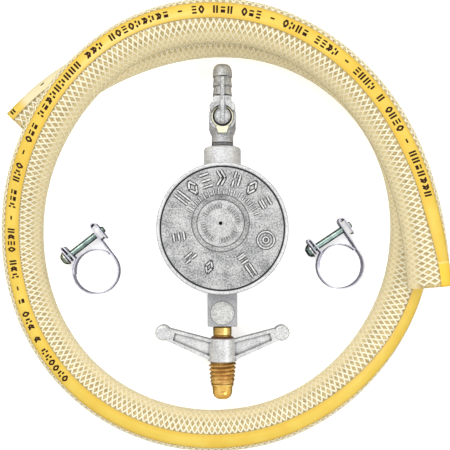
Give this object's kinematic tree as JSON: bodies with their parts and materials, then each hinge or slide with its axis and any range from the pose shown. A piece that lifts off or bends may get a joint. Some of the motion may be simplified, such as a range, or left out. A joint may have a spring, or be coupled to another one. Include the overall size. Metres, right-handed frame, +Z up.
{
  "type": "gas regulator and hose kit",
  "caption": "Low-pressure gas regulator with a wing connector and a swivelling hose spout, inside a coiled braided hose with two screw clamps.",
  "frame": {"origin": "on the surface that the kit lies on, under the centre of the regulator's round body", "axes": "+Z up out of the surface, +Y from the wing connector towards the hose spout, +X to the right of that"},
  "size_m": [0.1915, 0.1923, 0.0362],
  "materials": {
    "die_cast": "satin die casting",
    "cover_cast": "satin die casting",
    "cap_cast": "satin die casting",
    "plug_cast": "matte casting",
    "zinc_steel": "zinc plated",
    "diaphragm_rubber": "matte",
    "acetal": "smooth",
    "spring_steel": "bright",
    "pin_steel": "ground",
    "nozzle_brass": "turned",
    "seal_rubber": "smooth",
    "tap_zinc": "satin zinc casting",
    "spout_zinc": "satin zinc casting",
    "collar_dark": "smooth",
    "retainer_brass": "stamped",
    "stem_brass": "turned",
    "filter_bronze": "sintered",
    "washer_fibre": "fibre",
    "nose_brass": "turned",
    "wing_zinc": "bright satin casting",
    "thread_brass": "turned",
    "clamp_steel": "zinc plated strip",
    "nut_steel": "zinc plated",
    "screw_steel": "zinc plated",
    "hose_pvc": "gloss"
  },
  "bodies": {
    "regulator": {"body_shell": "die_cast", "cover": "cover_cast", "centre_cap": "cap_cast", "spring_seat": "zinc_steel", "block_plug": "plug_cast", "diaphragm": "diaphragm_rubber", "main_spring": "spring_steel", "lever_pin": "pin_steel", "valve_nozzle": "nozzle_brass", "tap_body": "tap_zinc", "outlet_o_ring": "seal_rubber", "spindle_collar": "collar_dark", "spout_retainer": "retainer_brass", "inlet_stem": "stem_brass", "inlet_filter": "filter_bronze", "stem_washer": "washer_fibre", "bullet_nose": "nose_brass"},
    "diaphragm_stack": {"diaphragm_plate": "zinc_steel", "diaphragm_backing": "acetal", "diaphragm_stem": "acetal"},
    "lever": {"valve_lever": "zinc_steel"},
    "pad": {"pad_holder": "acetal", "valve_pad": "seal_rubber"},
    "spout": {"hose_spout": "spout_zinc", "spindle_o_ring_lower": "seal_rubber", "spindle_o_ring_upper": "seal_rubber", "spindle_clip": "zinc_steel"},
    "wing": {"wing_handle": "wing_zinc", "threaded_sleeve": "thread_brass"},
    "hose": {"gas_hose": "hose_pvc"},
    "clamp_left": {"clamp_band_left": "clamp_steel", "clamp_bridge_left": "clamp_steel", "clamp_nut_left": "nut_steel"},
    "clamp_left_washer": {"clamp_washer_left": "nut_steel"},
    "clamp_left_screw": {"clamp_screw_left": "screw_steel"},
    "clamp_right": {"clamp_band_right": "clamp_steel", "clamp_bridge_right": "clamp_steel", "clamp_nut_right": "nut_steel"},
    "clamp_right_washer": {"clamp_washer_right": "nut_steel"},
    "clamp_right_screw": {"clamp_screw_right": "screw_steel"}
  },
  "joints": [
    {"name": "diaphragm_stroke", "type": "slide", "parent": "regulator", "child": "diaphragm_stack", "axis": [0, 0, 1], "range_m": [0, 0.0011], "stiffness_N_per_m": 600, "springref_m": -0.003, "deforming": ["main_spring", "diaphragm"]},
    {"name": "lever_tilt", "type": "hinge", "parent": "regulator", "child": "lever", "pos_m": [0, -0.0145, 0.0046], "axis": [1, 0, 0], "range_deg": [0, 4.5]},
    {"name": "pad_slide", "type": "slide", "parent": "regulator", "child": "pad", "axis": [0, -1, 0], "range_m": [0, 0.0004]},
    {"name": "spout_turn", "type": "hinge", "parent": "regulator", "child": "spout", "pos_m": [0, 0.0486, 0.0095], "axis": [0, 0, 1], "range_deg": [-90, 90]},
    {"name": "wing_spin", "type": "hinge", "parent": "regulator", "child": "wing", "pos_m": [0, -0.0525, 0.0095], "axis": [0, -1, 0], "continuous": true},
    {"name": "hose_lift", "type": "slide", "parent": "regulator", "child": "hose", "axis": [0, 0, 1], "range_m": [0, 0.06]},
    {"name": "clamp_left_lift", "type": "slide", "parent": "regulator", "child": "clamp_left", "axis": [0, 0, 1], "range_m": [0, 0.06]},
    {"name": "clamp_left_feed", "type": "slide", "parent": "clamp_left", "child": "clamp_left_washer", "axis": [-0.788, -0.6157, 0], "range_m": [0, 0.002]},
    {"name": "clamp_left_turn", "type": "hinge", "parent": "clamp_left_washer", "child": "clamp_left_screw", "pos_m": [-0.06422, -0.00799, 0.0035], "axis": [-0.788, -0.6157, 0], "range_deg": [0, 1440]},
    {"name": "clamp_right_lift", "type": "slide", "parent": "regulator", "child": "clamp_right", "axis": [0, 0, 1], "range_m": [0, 0.06]},
    {"name": "clamp_right_feed", "type": "slide", "parent": "clamp_right", "child": "clamp_right_washer", "axis": [-0.832, -0.5548, 0], "range_m": [0, 0.002]},
    {"name": "clamp_right_turn", "type": "hinge", "parent": "clamp_right_washer", "child": "clamp_right_screw", "pos_m": [0.04545, -0.00513, 0.0035], "axis": [-0.832, -0.5548, 0], "range_deg": [0, 1440]}
  ],
  "couplings": [
    {"joint": "lever_tilt", "follows": "diaphragm_stroke", "rad_per_m": 68.966},
    {"joint": "pad_slide", "follows": "diaphragm_stroke", "ratio": 0.33793},
    {"joint": "clamp_left_turn", "follows": "clamp_left_feed", "rad_per_m": 12566},
    {"joint": "clamp_right_turn", "follows": "clamp_right_feed", "rad_per_m": 12566}
  ]
}
